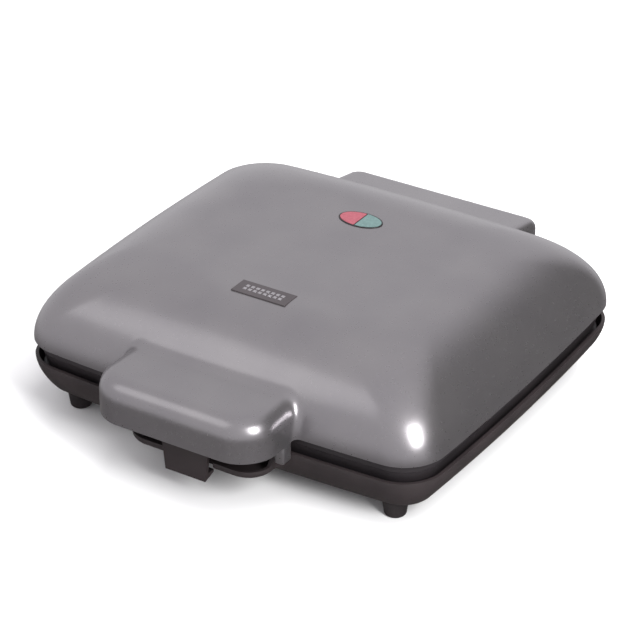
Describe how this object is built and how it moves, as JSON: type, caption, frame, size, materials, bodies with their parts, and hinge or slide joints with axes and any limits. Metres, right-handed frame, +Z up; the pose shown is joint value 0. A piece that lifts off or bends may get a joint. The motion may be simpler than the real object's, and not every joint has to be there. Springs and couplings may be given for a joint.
{
  "type": "waffle maker",
  "caption": "Four-slice waffle maker with a domed lid on a rear hinge, front handle with a swinging latch, drip moat and rubber feet.",
  "frame": {"origin": "centre of the footprint on the table, under the feet", "axes": "+Z up, -Y towards the handle, +X to the right of a person at the handle"},
  "size_m": [0.28, 0.3088, 0.0926],
  "materials": {
    "base_plastic": "fine moulded texture, charcoal brown",
    "liner_plastic": "smooth heat-resistant moulding, near black",
    "latch_plastic": "fine moulded texture, charcoal",
    "lid_silver_paint": "graphite silver metallic paint under clear coat",
    "plate_coating": "non-stick coated cast aluminium",
    "element_steel": "oxidised tube",
    "zinc_steel": "zinc plated",
    "reflector_aluminium": "rolled sheet",
    "fuse_ceramic": "glass-fibre sleeve",
    "terminal_plastic": "nylon",
    "wire_sleeve": "braided silicone sleeve",
    "gland_rubber": "moulded",
    "foot_rubber": "moulded",
    "screw_steel": "zinc plated",
    "pin_steel": "ground",
    "bezel_plastic": "moulded",
    "lens_red": "translucent red",
    "lens_green": "translucent grey green",
    "board_laminate": "laminate",
    "lamp_glass": "clear",
    "name_plate_enamel": "printed dark enamel"
  },
  "bodies": {
    "base": {"base_shell": "base_plastic", "rear_bracket": "base_plastic", "bracket_screws": "screw_steel", "base_liner": "liner_plastic", "lower_plate": "plate_coating", "lower_plate_screws": "screw_steel", "lower_heating_element": "element_steel", "lower_element_clips": "zinc_steel", "lower_heat_reflector": "reflector_aluminium", "thermostat": "zinc_steel", "thermostat_bracket": "zinc_steel", "thermal_fuse": "fuse_ceramic", "terminal_block": "terminal_plastic", "loom_lower": "wire_sleeve", "cord_gland": "gland_rubber", "foot_front_left": "foot_rubber", "foot_front_right": "foot_rubber", "foot_rear_left": "foot_rubber", "foot_rear_right": "foot_rubber", "foot_screws": "screw_steel", "base_screws": "screw_steel", "hinge_pin_left": "pin_steel", "hinge_pin_right": "pin_steel"},
    "lid": {"lid_liner": "liner_plastic", "handle_cover": "liner_plastic", "lid_shell": "lid_silver_paint", "upper_plate": "plate_coating", "upper_heating_element": "element_steel", "upper_element_clips": "zinc_steel", "upper_heat_reflector": "reflector_aluminium", "loom_upper": "wire_sleeve", "lid_screws": "screw_steel", "upper_plate_screws": "screw_steel", "lamp_board_screws": "screw_steel", "latch_pin": "pin_steel", "indicator_bezel": "bezel_plastic", "indicator_lens_red": "lens_red", "indicator_lens_green": "lens_green", "lamp_board": "board_laminate", "power_lamp": "lamp_glass", "ready_lamp": "lamp_glass", "name_plate": "name_plate_enamel"},
    "latch": {"latch": "latch_plastic"}
  },
  "joints": [
    {"name": "lid_hinge", "type": "hinge", "parent": "base", "child": "lid", "pos_m": [0, 0.1456, 0.042], "axis": [-1, 0, 0], "range_deg": [0, 95]},
    {"name": "latch_swing", "type": "hinge", "parent": "lid", "child": "latch", "pos_m": [0, -0.1372, 0.05], "axis": [-1, 0, 0], "range_deg": [-8, 25]}
  ]
}
